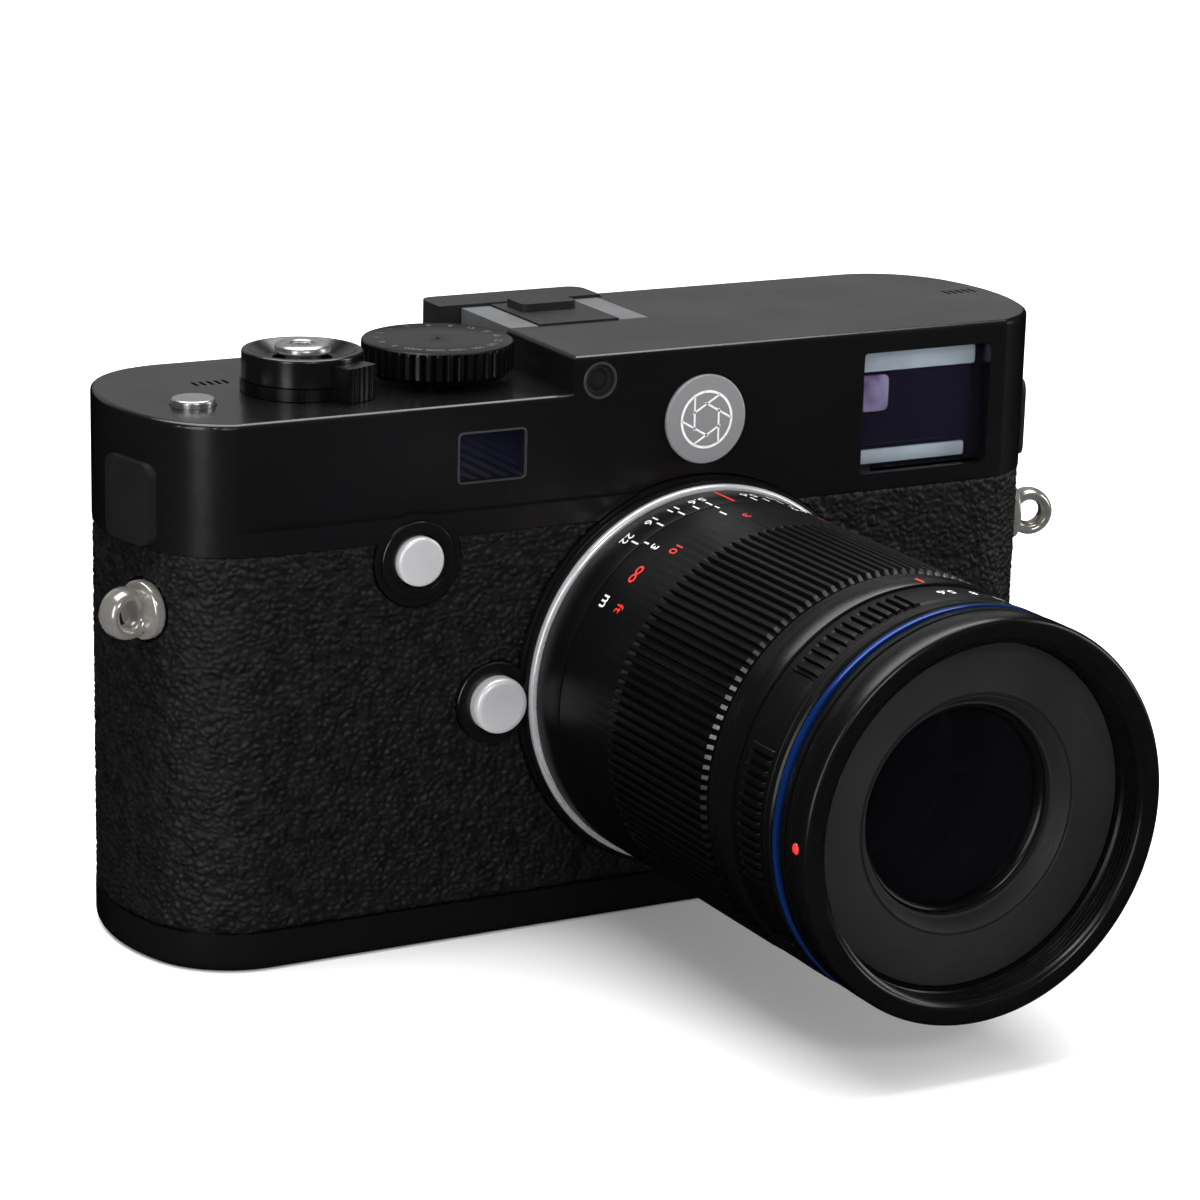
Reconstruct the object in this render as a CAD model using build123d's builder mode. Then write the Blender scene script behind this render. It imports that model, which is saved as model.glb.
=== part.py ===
"""A digital rangefinder camera with a macro lens, as an assembly of separate pieces.

Frame: +Z up, the lens looks along -Y, +X is to the right seen from the front.
The origin is the mouth of the tripod socket, under the lens axis, on the plane the camera stands on.
"""

from build123d import *
import math
import os

# ---- driving dimensions, millimetres ----
BODY_W, BODY_D = 138.6, 39.2  # outline of the covers
BODY_X = -9.3  # middle of the body, beside the lens axis
CORNER_R, END_R = 14.0, 30.0  # arcs of the rounded ends
Z_PLATE, Z_SKIN, Z_LEDGE, Z_LOW, Z_HIGH = 5.4, 57.0, 60.2, 74.5, 79.6
STEP_X = -10.3  # where the low deck ends, from the middle of the body
SKIN_T = 0.7  # leather covering
PANEL_IN = 0.8  # how far the flat front of the top cover lies behind the outline
AXIS_Z = 34.0  # height of the lens axis
FACE = BODY_D / 2  # distance from the middle to the front face
FLANGE = 22.5  # front of the camera's bayonet ring
THROAT_R = 22.2
TRIPOD_R = 3.1  # quarter-inch tripod thread
GAP = 0.05  # between pieces that lie against each other
RUN = 0.15  # between pieces that move past each other

RELEASE_X, DIAL_X, DECK_Y = -42.5, -22.6, -2.5  # shutter release and speed dial
MOVIE = (-59.5, -5.8)
FOCUS_KEY = (-33.5, 54.3)  # front push button, from the middle of the body
RELEASE_KEY = (-21.9, 33.4)  # lens release button
SHOE_X, SHOE_W = 1.15, 21.7
LUG_Y, LUG_Z, LUG_HOLE_R = -8.8, 48.6, 1.7
EAR_R, EAR_T, EYE_OUT = 4.1, 4.4, 2.9  # strap lug: size, thickness, and how far out its eye lies
VF = (45.9, 67.9)  # viewfinder window
RF = (-22.3, 67.2)  # rangefinder window
EYE = (50.0, 68.0)  # eyepiece
PANEL = (12.0, 31.2, 86.0, 49.4)  # rear panel: x, z, width, height
WHEEL = (-50.0, 64.5, 7.0)  # thumbwheel: x, z, radius
PAD_KEYS = (-43.0, 27.0)  # four-way pad
LOCK_X = -50.0  # base lock

RING_R = 26.3  # outside of the lens barrel
TUBE_R, TELESCOPE_R = 22.6, 20.8  # inner barrel of the lens, and the tube that slides in it
FRONT_CURVE = 110.0  # radius of the front glass
SCALE_END, FOCUS_END, MID_END, APERTURE_END = 29.0, 68.2, 74.3, 82.0
BLUE_START, BLUE_END, RIM = 83.9, 85.7, 92.2
THREAD_R, THREAD = 23.0, 4.2  # filter thread: radius and length
RIB_START = 42.5
N_RIBS, N_DIAL_RIBS, N_BLADES = 120, 48, 10
IRIS = 64.0  # where the iris lies
BLADE_STEP = 0.3
N_CURTAIN, CURTAIN_H, CURTAIN_T = 4, 7.2, 0.4
INNER_END = 84.4  # front of the inner barrel

os.makedirs("parts", exist_ok=True)


def deck(z):
    """Plane at height z, centred on the body."""
    return Plane((BODY_X, 0, z))


def front(d):
    """Upright plane d in front of the body's middle, facing forwards: local x along X, local y along Z."""
    return Plane((BODY_X, -d, 0), x_dir=(1, 0, 0), z_dir=(0, -1, 0))


def axis(d):
    """Upright plane d in front of the body's middle, centred on the lens axis."""
    return Plane((0, -d, AXIS_Z), x_dir=(1, 0, 0), z_dir=(0, -1, 0))


def save(builder, name):
    """Labels a finished piece and writes it as one STEP file."""
    builder.part.label = name
    export_step(builder.part, f"parts/{name}.step")


def outline(inset=0.0):
    """Adds the rounded body outline, moved in by inset, to the current sketch."""
    half_w, half_d = BODY_W / 2 - inset, BODY_D / 2 - inset
    end_r, corner_r = END_R - inset, CORNER_R - inset
    end_x, corner_y = half_w - end_r, half_d - corner_r
    corner_x = end_x + math.sqrt((end_r - corner_r) ** 2 - corner_y**2)
    turn = math.degrees(math.atan2(corner_y, corner_x - end_x))
    with BuildLine() as rim:
        Line((0, half_d), (corner_x, half_d))
        CenterArc((corner_x, corner_y), corner_r, turn, 90 - turn)
        CenterArc((end_x, 0), end_r, 0, turn)
        mirror(about=Plane.YZ)
        mirror(about=Plane.XZ)
    make_face(rim.edges())


def slab(z0, z1, inset=0.0, mode=Mode.ADD):
    """A layer of the body outline from z0 to z1, in the current part."""
    with BuildSketch(deck(z0)) as layer:
        outline(inset)
    extrude(layer.sketch, amount=z1 - z0, mode=mode)


def box(x0, x1, y0, y1, z0, z1, mode=Mode.ADD):
    """A box in body coordinates, in the current part."""
    with BuildSketch(deck(z0)) as base:
        with Locations(((x0 + x1) / 2, (y0 + y1) / 2)):
            Rectangle(x1 - x0, y1 - y0)
    extrude(base.sketch, amount=z1 - z0, mode=mode)


def disc(plane, length, radius, at=(0, 0), mode=Mode.ADD):
    """A cylinder from the plane along its normal, in the current part."""
    with BuildSketch(plane) as face:
        with Locations(at):
            Circle(radius)
    extrude(face.sketch, amount=length, mode=mode)


def tile(plane, length, at, width, height, radius, mode=Mode.ADD):
    """A round-cornered block from the plane along its normal, in the current part."""
    with BuildSketch(plane) as face:
        with Locations(at):
            RectangleRounded(width, height, radius)
    extrude(face.sketch, amount=length, mode=mode)


def tube(d0, d1, outer, inner, mode=Mode.ADD):
    """A ring around the lens axis from d0 to d1 in front of the middle, in the current part."""
    with BuildSketch(axis(d0)) as face:
        Circle(outer)
        if inner:
            Circle(inner, mode=Mode.SUBTRACT)
    extrude(face.sketch, amount=d1 - d0, mode=mode)


def polar(radius, angle):
    """Point at a radius and an angle in degrees."""
    return (radius * math.cos(math.radians(angle)), radius * math.sin(math.radians(angle)))


def sector(plane, length, inner, outer, start, size, mode=Mode.ADD):
    """A block that is a sector of a ring, from the plane along its normal, in the current part."""
    end = start + size
    with BuildSketch(plane) as face:
        with BuildLine() as rim:
            Line(polar(inner, start), polar(outer, start))
            CenterArc((0, 0), outer, start, size)
            Line(polar(outer, end), polar(inner, end))
            CenterArc((0, 0), inner, start, size)
        make_face(rim.edges())
    extrude(face.sketch, amount=length, mode=mode)


# ======================= camera body =======================

with BuildPart() as body_shell:
    slab(Z_PLATE, Z_SKIN, SKIN_T)
    slab(Z_PLATE, Z_SKIN, SKIN_T + 1.8, Mode.SUBTRACT)
    tube(15.0, 20.2, 27.7, 0)
    disc(front(FACE - SKIN_T - 1), 2.6, 5.5, RELEASE_KEY)
    tube(20.2, 30, 27.8, 0, Mode.SUBTRACT)
    tube(10.0, 25.0, THROAT_R + 0.3, 0, Mode.SUBTRACT)
    disc(axis(10), 15, 1.4, (-24.4, 0), Mode.SUBTRACT)
    disc(front(10), 15, 3.7, FOCUS_KEY, Mode.SUBTRACT)
    disc(front(10), 15, 4.1, RELEASE_KEY, Mode.SUBTRACT)
    tile(front(-24), 8, (5, PANEL[1]), 68, 44, 2, Mode.SUBTRACT)
    tile(front(-24), 8, (48.5, PANEL[1]), 8, 44, 2, Mode.SUBTRACT)
    disc(front(-24), 8, 6.5, PAD_KEYS, Mode.SUBTRACT)
save(body_shell, "body_shell")

with BuildPart() as chassis:
    slab(4.0, 6.0, SKIN_T + 2.2)
    box(-22, 40.6, -13.3, 5.8, 6.0, 59.0)
    box(-18, 36.6, -14, 6, 8.0, 56.0, Mode.SUBTRACT)
    box(-70, -28, -12, 13, 3.5, 7, Mode.SUBTRACT)
    disc(Plane.XY.offset(3.5), 5, 6.6, mode=Mode.SUBTRACT)
    box(-28, -12, -14, -9.8, 29, 38, Mode.SUBTRACT)
    disc(deck(47.0), 8.5, 0.8, (31.0, -11.0))
    box(29.5, 38.0, -12.4, -9.6, 45.5, 48.2)
save(chassis, "chassis")

with BuildPart() as tripod_bush:
    disc(Plane.XY, 10.0, 6.5)
    disc(Plane.XY.offset(8 + GAP), 1.9, 8.0)
    disc(Plane.XY, 8.6, TRIPOD_R, mode=Mode.SUBTRACT)
save(tripod_bush, "tripod_bush")


def leather(name, x0, x1):
    """One side of the grained covering, between the mount and the rear panel."""
    with BuildPart() as skin:
        slab(Z_PLATE + 0.2, Z_SKIN - 0.1)
        slab(Z_PLATE, Z_SKIN, SKIN_T, Mode.SUBTRACT)
        tube(10.0, 25.0, 27.9, 0, Mode.SUBTRACT)
        box(9.3 - 16, 9.3 + 16, -22, -10, 0, 12, Mode.SUBTRACT)
        box(PANEL[0] - PANEL[2] / 2 - 0.2, PANEL[0] + PANEL[2] / 2 + 0.2, 10, 25, 0, 60, Mode.SUBTRACT)
        disc(front(10), 15, 6.5, FOCUS_KEY, Mode.SUBTRACT)
        disc(front(10), 15, 5.7, RELEASE_KEY, Mode.SUBTRACT)
        disc(front(-25), 10, 10.2, PAD_KEYS, Mode.SUBTRACT)
        for side in (-1, 1):
            disc(lug_plane(side).offset(-3), 6, EAR_R + 0.2, mode=Mode.SUBTRACT)
        box(x0, x1, -30, 30, 0, 60, Mode.INTERSECT)
    save(skin, name)


def lug_plane(side):
    """Plane on the outline at a strap lug, facing outwards: local y along Z."""
    turn = math.asin(-LUG_Y / END_R)
    x = BODY_X + side * (BODY_W / 2 - END_R + END_R * math.cos(turn))
    out = (side * math.cos(turn), -math.sin(turn), 0)
    return Plane((x, LUG_Y, LUG_Z), x_dir=(-out[1], out[0], 0), z_dir=out)


leather("leather_left", -80, 9.3)
leather("leather_right", 9.3, 80)


def ear(side):
    """One strap lug: a round foot, and a domed ear with the eye through it."""
    foot = lug_plane(side)
    eye = Plane(foot.origin, x_dir=foot.z_dir, z_dir=foot.x_dir)
    with BuildPart() as dome:
        disc(eye.offset(-EAR_T / 2), EAR_T, 10)
        with Locations(Plane(foot.offset(EYE_OUT - 0.6).origin, x_dir=foot.z_dir, z_dir=(0, 0, 1))):
            Sphere(EAR_R, mode=Mode.INTERSECT)
        disc(foot.offset(-SKIN_T + GAP), SKIN_T + 0.9, EAR_R)
        disc(eye.offset(-5), 10, LUG_HOLE_R, (EYE_OUT, 0), Mode.SUBTRACT)
        disc(foot.offset(-SKIN_T + GAP - 10), 10, 12, mode=Mode.SUBTRACT)
    return dome.part


with BuildPart() as strap_lugs:
    for side in (-1, 1):
        add(ear(side))
save(strap_lugs, "strap_lugs")

with BuildPart() as strap_guards:
    slab(Z_SKIN, 69, -0.9)
    slab(Z_SKIN, 69, 0.0, Mode.SUBTRACT)
    with BuildSketch(Plane((BODY_X - 80, 0, 0), x_dir=(0, 1, 0), z_dir=(1, 0, 0))):
        with Locations((-6.5, 62.9)):
            RectangleRounded(9.8, 11.0, 1.8)
    extrude(amount=160, mode=Mode.INTERSECT)
    box(-60, 60, -30, 30, 50, 80, Mode.SUBTRACT)
save(strap_guards, "strap_guards")

with BuildPart() as top_cover:
    slab(Z_SKIN, Z_HIGH)
    box(-80, STEP_X, -30, 30, Z_LOW, 90, Mode.SUBTRACT)
    box(-80, 80, -30, -FACE + PANEL_IN, Z_LEDGE, 90, Mode.SUBTRACT)
    box(9.3, 80, -30, -FACE + PANEL_IN, 50, 90, Mode.SUBTRACT)
    decks = top_cover.faces().filter_by(Plane.XY).filter_by(lambda f: f.center().Z > Z_LOW - 1)
    fillet(decks.edges().filter_by(lambda e: e.center().X < BODY_X + STEP_X - 0.5 or e.center().Z > Z_LOW + 1), 0.7)
    # the inside
    slab(Z_SKIN - 1, Z_LOW - 1.4, PANEL_IN + 1.3, Mode.SUBTRACT)
    with BuildSketch(deck(Z_LOW - 2)):
        outline(PANEL_IN + 1.3)
        with Locations((40 + STEP_X + 23.5, 0)):
            Rectangle(80, 60, mode=Mode.INTERSECT)
    extrude(amount=Z_HIGH - Z_LOW + 0.6, mode=Mode.SUBTRACT)
    # lobe around the front push button
    disc(front(FACE - SKIN_T + GAP), SKIN_T, 6.3, FOCUS_KEY)
    disc(front(FACE - GAP), 0.4, 4.7, FOCUS_KEY)
    disc(front(10), 20, 3.6, FOCUS_KEY, Mode.SUBTRACT)
    # arch over the bayonet
    tube(8.0, 26.0, 27.9, 0, Mode.SUBTRACT)
    # windows, badge seat and eyepiece
    tile(front(FACE - 4), 6, VF, 21.0, 17.2, 0.6, Mode.SUBTRACT)
    tile(front(FACE - 4), 6, RF, 10.4, 7.2, 0.8, Mode.SUBTRACT)
    disc(front(FACE - 4), 6, 2.6, (-6.3, 76.1), Mode.SUBTRACT)
    disc(front(FACE - PANEL_IN - 0.5), 3, 6.25, (10.0, 69.5), Mode.SUBTRACT)
    disc(front(-FACE - 1), 6, 6.6, EYE, Mode.SUBTRACT)
    # deck holes, shoe pocket and microphone slots
    disc(deck(Z_LOW - 4), 8, 5.2, (RELEASE_X, DECK_Y), Mode.SUBTRACT)
    disc(deck(Z_LOW - 4), 8, 3.7, (DIAL_X, DECK_Y), Mode.SUBTRACT)
    disc(deck(Z_LOW - 4), 8, 3.1, MOVIE, Mode.SUBTRACT)
    box(STEP_X - 1, SHOE_X + SHOE_W / 2 + 0.1, 1.1, 30, Z_LOW, 90, Mode.SUBTRACT)
    box(STEP_X - 1, SHOE_X + SHOE_W / 2 + 0.9, 16.3, 30, Z_LOW, 90, Mode.SUBTRACT)
    for x, y, z in ((-52.3, 5.6, Z_LOW), (64.0, 1.4, Z_HIGH)):
        with BuildSketch(deck(z - 0.6)):
            with GridLocations(1.1, 0, 3, 1) as slots:
                for spot in slots.local_locations:
                    with Locations((x + spot.position.X, y)):
                        SlotOverall(2.4, 0.5, rotation=90)
        extrude(amount=2, mode=Mode.SUBTRACT)
    # thumbwheel slot and thumb rest
    box(WHEEL[0] - 6.4, WHEEL[0] + 6.4, 10, 25, WHEEL[1] - 2.3, WHEEL[1] + 2.3, Mode.SUBTRACT)
    tile(front(-FACE - 1.4), 1.6, (-38.5, 65.0), 5.0, 9.0, 1.6)
save(top_cover, "top_cover")

with BuildPart() as bayonet_ring:
    tube(20.2 + GAP, FLANGE, 27.0, THROAT_R)
    fillet(bayonet_ring.edges().filter_by(lambda e: e.center().Y < -FLANGE + 0.1 and e.radius > 26), 0.7)
    for turn in (20, 110, 200, 290):
        sector(axis(20.6), 1.4, 20.9, THROAT_R + 0.5, turn, 50)
    with BuildSketch(axis(FLANGE)):
        with PolarLocations(24.9, 4, start_angle=45):
            Circle(1.35)
    extrude(amount=-1.0, mode=Mode.SUBTRACT)
    disc(axis(20), 4, 1.1, (-24.4, 0), Mode.SUBTRACT)
save(bayonet_ring, "bayonet_ring")

with BuildPart() as bayonet_screws:
    for spot in PolarLocations(24.9, 4, start_angle=45).local_locations:
        at = (spot.position.X, spot.position.Y)
        disc(axis(FLANGE - 1.0 + GAP), 0.8, 1.25, at)
        tile(axis(FLANGE - 0.5), 1, at, 1.6, 0.35, 0.1, Mode.SUBTRACT)
save(bayonet_screws, "bayonet_screws")

# ---- windows and finder ----
with BuildPart() as finder_window:
    tile(front(16.2), 1.2, VF, 20.8, 16.5, 0.4)
save(finder_window, "finder_window")

with BuildPart() as finder_prism:
    box(VF[0] - 10.2, VF[0] + 10.2, -14.4, 12.0, 61.4, 74.0)
    with BuildSketch(deck(60)):
        with Locations((VF[0] - 10.2, 12.0)):
            Rectangle(16, 16, rotation=45)
    extrude(amount=20, mode=Mode.SUBTRACT)
save(finder_prism, "finder_prism")

with BuildPart() as rangefinder_window:
    tile(front(17.2), 1.0, RF, 10.3, 7.1, 0.75)
save(rangefinder_window, "rangefinder_window")

with BuildPart() as rangefinder_prism:
    with BuildSketch(deck(62.5)):
        with BuildLine():
            Polyline((RF[0] - 5, -16.5), (RF[0] + 5, -16.5), (RF[0] + 5, -6.5), close=True)
        make_face()
    extrude(amount=9.4)
save(rangefinder_prism, "rangefinder_prism")

with BuildPart() as light_sensor:
    disc(front(16.4), 2.2, 2.55, (-6.3, 76.1))
    disc(front(18.0), 1.2, 2.1, (-6.3, 76.1), Mode.SUBTRACT)
    disc(front(17.2), 1.2, 1.5, (-6.3, 76.1), Mode.SUBTRACT)
save(light_sensor, "light_sensor")

with BuildPart() as eyepiece_ring:
    disc(front(-FACE - 1.6), 3.6, 6.5, EYE)
    disc(front(-FACE - 2), 6, 4.6, EYE, Mode.SUBTRACT)
    outer_rim = eyepiece_ring.edges().filter_by(GeomType.CIRCLE).filter_by(lambda e: e.radius > 6)
    fillet(outer_rim.sort_by(Axis.Y)[-1], 0.6)
save(eyepiece_ring, "eyepiece_ring")

with BuildPart() as eyepiece_lens:
    disc(front(-FACE), 1.6, 4.55, EYE)
save(eyepiece_lens, "eyepiece_lens")

with BuildPart() as badge:
    disc(front(FACE - PANEL_IN - 0.45), 0.9, 6.2, (10.0, 69.5))
    fillet(badge.edges().filter_by(GeomType.CIRCLE).sort_by(Axis.Y)[0], 0.25)
save(badge, "badge")

# ---- rear ----
with BuildPart() as rear_panel:
    tile(front(-21.0), 2.05, PANEL[:2], PANEL[2], PANEL[3], 3.0)
    fillet(rear_panel.faces().sort_by(Axis.Y)[-1].edges(), 0.6)
    tile(front(-21.5), 1.6, (5, PANEL[1]), 66.4, 43.4, 1.2, Mode.SUBTRACT)
    tile(front(-22), 4, (5, PANEL[1]), 60, 38, 0.5, Mode.SUBTRACT)
    for row in range(5):
        tile(front(-22), 4, (47.8, 13.2 + 9.0 * row), 8.4, 4.4, 1.4, Mode.SUBTRACT)
save(rear_panel, "rear_panel")

with BuildPart() as screen_glass:
    tile(front(-20.85), 0.9, (5, PANEL[1]), 66.2, 43.2, 1.1)
save(screen_glass, "screen_glass")

for row in range(5):
    with BuildPart() as key:
        tile(front(-21.6), 1.6, (47.8, 13.2 + 9.0 * row), 8.1, 4.1, 1.3)
        fillet(key.faces().sort_by(Axis.Y)[-1].edges(), 0.4)
        tile(front(-20.1), 1.8, (47.8, 13.2 + 9.0 * row), 5.0, 2.6, 0.5)
    save(key, f"rear_key_{row + 1}")

with BuildPart() as four_way_pad:
    disc(front(-21.2), 0.9, 9.2, PAD_KEYS)
    fillet(four_way_pad.faces().sort_by(Axis.Y)[-1].edges(), 0.5)
    disc(front(-20.35), 2.4, 6.2, PAD_KEYS)
    disc(front(-25), 10, 3.7, PAD_KEYS, Mode.SUBTRACT)
save(four_way_pad, "four_way_pad")

with BuildPart() as centre_key:
    disc(front(-21.3), 3.2, 3.5, PAD_KEYS)
    fillet(centre_key.faces().sort_by(Axis.Y)[-1].edges(), 0.4)
save(centre_key, "centre_key")

with BuildPart() as thumbwheel:
    with BuildSketch(Plane((BODY_X + WHEEL[0], 13.9, WHEEL[1] - 2.1))):
        Circle(WHEEL[2])
        with PolarLocations(WHEEL[2] + 0.25, 36):
            Circle(0.5, mode=Mode.SUBTRACT)
    extrude(amount=4.2)
save(thumbwheel, "thumbwheel")

# ---- sensor, shutter, boards, battery ----
with BuildPart() as shutter_frame:
    box(-20, 38.6, 6.0, 7.0, 10.3, 55.0)
    box(9.3 - 18.5, 9.3 + 18.5, 5, 9, AXIS_Z - 12.5, AXIS_Z + 12.5, Mode.SUBTRACT)
save(shutter_frame, "shutter_frame")

with BuildPart() as shutter_curtain:
    for row in range(N_CURTAIN):
        middle = AXIS_Z + ((N_CURTAIN - 1) / 2 - row) * (CURTAIN_H - 0.9)
        depth = 7.15 + CURTAIN_T * row
        box(-11.5, 30.1, depth, depth + CURTAIN_T, middle - CURTAIN_H / 2, middle + CURTAIN_H / 2)
save(shutter_curtain, "shutter_curtain")

with BuildPart() as image_sensor:
    box(9.3 - 20, 9.3 + 20, 9.4, 10.8, AXIS_Z - 14, AXIS_Z + 14)
save(image_sensor, "image_sensor")

with BuildPart() as main_board:
    box(-27, 40, 13.2, 14.4, 8, 55)
    for x, z, w, h in ((-14, 24, 14, 14), (8, 38, 12, 12), (26, 20, 10, 16)):
        box(x - w / 2, x + w / 2, 14.4, 15.6, z - h / 2, z + h / 2)
save(main_board, "main_board")

with BuildPart() as battery:
    box(-62, -37, -8, 8, 5.9, 50)
    fillet(battery.edges().filter_by(Axis.Z), 3)
save(battery, "battery")

with BuildPart() as memory_card:
    box(-31.6, -29.4, -10, 12, 8, 40)
save(memory_card, "memory_card")

with BuildPart() as rangefinder_arm:
    box(9.3, 31.0, -13.0, -10.5, 50.6, 53.4)
    disc(deck(49.6), 5.2, 2.2, (31.0, -11.0))
    disc(deck(48), 8, 0.9, (31.0, -11.0), Mode.SUBTRACT)
    disc(deck(50.0), 4.0, 2.2, (9.3, -12.6))
save(rangefinder_arm, "rangefinder_arm")

# ---- top controls ----
with BuildPart() as release_tower:
    at = (RELEASE_X, DECK_Y)
    disc(deck(Z_LOW + 1.85), 3.7, 8.1, at)
    fillet(release_tower.faces().sort_by(Axis.Z)[-1].edges(), 0.4)
    with BuildSketch(deck(Z_LOW + 5.56)) as dish:
        with Locations(at):
            Circle(7.3)
    with BuildSketch(deck(Z_LOW + 4.3)) as floor_:
        with Locations(at):
            Circle(5.0)
    loft([floor_.sketch, dish.sketch], mode=Mode.SUBTRACT)
    disc(deck(Z_LOW - 2.0), 4.0, 5.0, at)
    disc(deck(Z_LOW - 5), 20, 4.0, at, Mode.SUBTRACT)
save(release_tower, "release_tower")

TAB_ANGLE = -67
with BuildPart() as power_switch:
    at = (BODY_X + RELEASE_X, DECK_Y)
    low = Plane((*at, Z_LOW + 0.1))
    disc(low, 1.6, 8.3)
    tab = Plane((*at, Z_LOW + 0.1), x_dir=(math.cos(math.radians(TAB_ANGLE)), math.sin(math.radians(TAB_ANGLE)), 0))
    with BuildSketch(tab):
        Circle(11.0)
        Circle(8.25, mode=Mode.SUBTRACT)
        with Locations((10, 0)):
            Rectangle(8, 5.2, mode=Mode.INTERSECT)
        with GridLocations(0, 0.95, 1, 5) as grooves:
            for spot in grooves.local_locations:
                with Locations((11.15, spot.position.Y)):
                    Circle(0.38, mode=Mode.SUBTRACT)
    extrude(amount=4.6)
    disc(Plane((*at, Z_LOW - 1)), 5, 5.15, mode=Mode.SUBTRACT)
save(power_switch, "power_switch")

with BuildPart() as shutter_button:
    at = (RELEASE_X, DECK_Y)
    disc(deck(Z_LOW - 1.5), 7.9, 3.75, at)
    fillet(shutter_button.faces().sort_by(Axis.Z)[-1].edges(), 0.8)
    disc(deck(Z_LOW + 2.4), 5, 1.5, at, Mode.SUBTRACT)
save(shutter_button, "shutter_button")

with BuildPart() as speed_dial:
    at = (BODY_X + DIAL_X, DECK_Y)
    with BuildSketch(Plane((*at, Z_LOW + 0.8))):
        Circle(10.4)
        with PolarLocations(10.7, N_DIAL_RIBS):
            Circle(0.55, mode=Mode.SUBTRACT)
    extrude(amount=4.3)
    disc(Plane((*at, Z_LOW + 5.1)), 0.4, 10.0)
    chamfer(speed_dial.faces().sort_by(Axis.Z)[-1].edges(), 0.3)
    disc(Plane((*at, Z_LOW - 2.5)), 3.3, 3.5)
save(speed_dial, "speed_dial")

with BuildPart() as movie_button:
    disc(deck(Z_LOW - 2.0), 3.0, 2.95, MOVIE)
    fillet(movie_button.faces().sort_by(Axis.Z)[-1].edges(), 0.45)
save(movie_button, "movie_button")

with BuildPart() as hot_shoe:
    box(SHOE_X - SHOE_W / 2, SHOE_X + SHOE_W / 2, 1.2, 16.2, Z_LOW + GAP, Z_HIGH)
    box(SHOE_X - 9.4, SHOE_X + 9.4, 1.8, 20, Z_LOW + 1.2, Z_LOW + 3.6, Mode.SUBTRACT)
    box(SHOE_X - 6.4, SHOE_X + 6.4, 0, 20, Z_LOW + 1.2, Z_HIGH + 1, Mode.SUBTRACT)
save(hot_shoe, "hot_shoe")

with BuildPart() as shoe_cover:
    box(SHOE_X - 9.2, SHOE_X + 9.2, 2.0, 16.5, Z_LOW + 1.5, Z_LOW + 3.4)
    box(SHOE_X - 6.2, SHOE_X + 6.2, 1.35, 16.5, Z_LOW + 1.5, Z_HIGH + 0.2)
    box(-13.0, 12.6, 16.5, 23.4, Z_LOW + 0.2, Z_HIGH + 0.4)
    box(-13.0, 12.6, FACE + 0.15, 23.4, 66.0, Z_LOW + 1)
    upright = shoe_cover.edges().filter_by(Axis.Z).filter_by(lambda e: e.center().Y > 23)
    fillet(upright, 2.2)
    with BuildSketch(deck(Z_HIGH)):
        with Locations((SHOE_X - 0.3, 12.2)):
            RectangleRounded(8.6, 5.4, 0.8)
    extrude(amount=1.3)
save(shoe_cover, "shoe_cover")

# ---- front push buttons ----
with BuildPart() as focus_button:
    disc(front(15.0), 6.0, 3.35, FOCUS_KEY)
    fillet(focus_button.edges().filter_by(GeomType.CIRCLE).sort_by(Axis.Y)[0], 0.5)
save(focus_button, "focus_button")

with BuildPart() as lens_release:
    disc(front(14.0), 8.4, 3.9, RELEASE_KEY)
    fillet(lens_release.edges().filter_by(GeomType.CIRCLE).sort_by(Axis.Y)[0], 0.9)
    disc(axis(13.6), FLANGE - 13.65, 1.0, (-24.4, 0))
    tile(front(13.6), 1.2, (-18.6, 33.7), 10.6, 3.6, 1.5)
save(lens_release, "lens_release")

# ---- base ----
with BuildPart() as base_plate:
    slab(0, Z_PLATE - GAP)
    fillet(base_plate.faces().sort_by(Axis.Z)[0].edges(), 1.3)
    slab(1.5, Z_PLATE, 1.5, Mode.SUBTRACT)
    disc(Plane.XY.offset(-1), 4, 7.6, mode=Mode.SUBTRACT)
    disc(deck(-1), 4, 9.3, (LOCK_X, 0), Mode.SUBTRACT)
save(base_plate, "base_plate")

with BuildPart() as base_lock:
    at = (LOCK_X, 0)
    disc(deck(0.35), 1.2, 9.1, at)
    disc(deck(1.55), 0.9, 10.4, at)
    disc(deck(2.45), 1.3, 3.0, at)
    with BuildSketch(deck(0.35)):
        with Locations(at):
            Circle(8.3)
            with Locations((0, 5.6)):
                Rectangle(20, 10, mode=Mode.SUBTRACT)
    extrude(amount=1.35, mode=Mode.SUBTRACT)
save(base_lock, "base_lock")

with BuildPart() as lock_bow:
    with BuildSketch(deck(0.5)):
        with Locations((LOCK_X, 0)):
            Circle(7.9)
            Circle(5.4, mode=Mode.SUBTRACT)
            with Locations((0, 10)):
                Rectangle(20, 20, mode=Mode.SUBTRACT)
    extrude(amount=0.9)
save(lock_bow, "lock_bow")

# ======================= lens =======================

with BuildPart() as lens_mount:
    tube(15.6, 24.2, 20.3, 18.0)
    tube(FLANGE + GAP, 24.2, 24.4, 19.0)
    for turn in (27, 117, 207, 297):
        sector(axis(18.4), 1.8, 20.0, 21.8, turn, 36)
save(lens_mount, "lens_mount")

with BuildPart() as depth_scale_ring:
    tube(FLANGE + 0.1, SCALE_END, RING_R, 20.5)
    tube(20, 24.25, 24.45, 0, Mode.SUBTRACT)
save(depth_scale_ring, "depth_scale_ring")

with BuildPart() as inner_barrel:
    tube(24.25, SCALE_END + GAP, 20.4, 18.4)
    tube(SCALE_END + GAP, FOCUS_END, TUBE_R, TELESCOPE_R + 0.1)
    tube(SCALE_END + GAP, SCALE_END + 1.2, TUBE_R, 18.4)
save(inner_barrel, "inner_barrel")

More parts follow.
